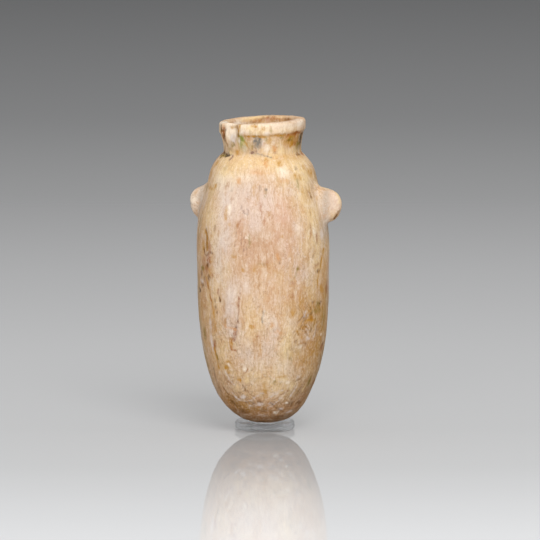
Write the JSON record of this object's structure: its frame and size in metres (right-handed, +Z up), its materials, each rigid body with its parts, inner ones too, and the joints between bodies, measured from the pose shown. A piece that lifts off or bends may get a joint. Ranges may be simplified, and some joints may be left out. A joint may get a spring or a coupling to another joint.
{
  "type": "miniature alabaster amphora",
  "caption": "Small carved alabaster vessel with a rounded foot, narrow neck, banded rim and small side lugs, held upright in a low clear ring.",
  "frame": {"origin": "on the standing surface, under the middle of the ring", "axes": "+Z up along the vessel, the two lugs along +X and -X, the chipped rim on the -Y side"},
  "size_m": [0.0459, 0.0389, 0.0921],
  "materials": {
    "alabaster": "dull polished stone with tool marks, brown and ochre stains",
    "clear_acrylic": "clear polished"
  },
  "bodies": {
    "root": {"alabaster_amphora": "alabaster", "clear_ring_stand": "clear_acrylic"}
  },
  "joints": []
}
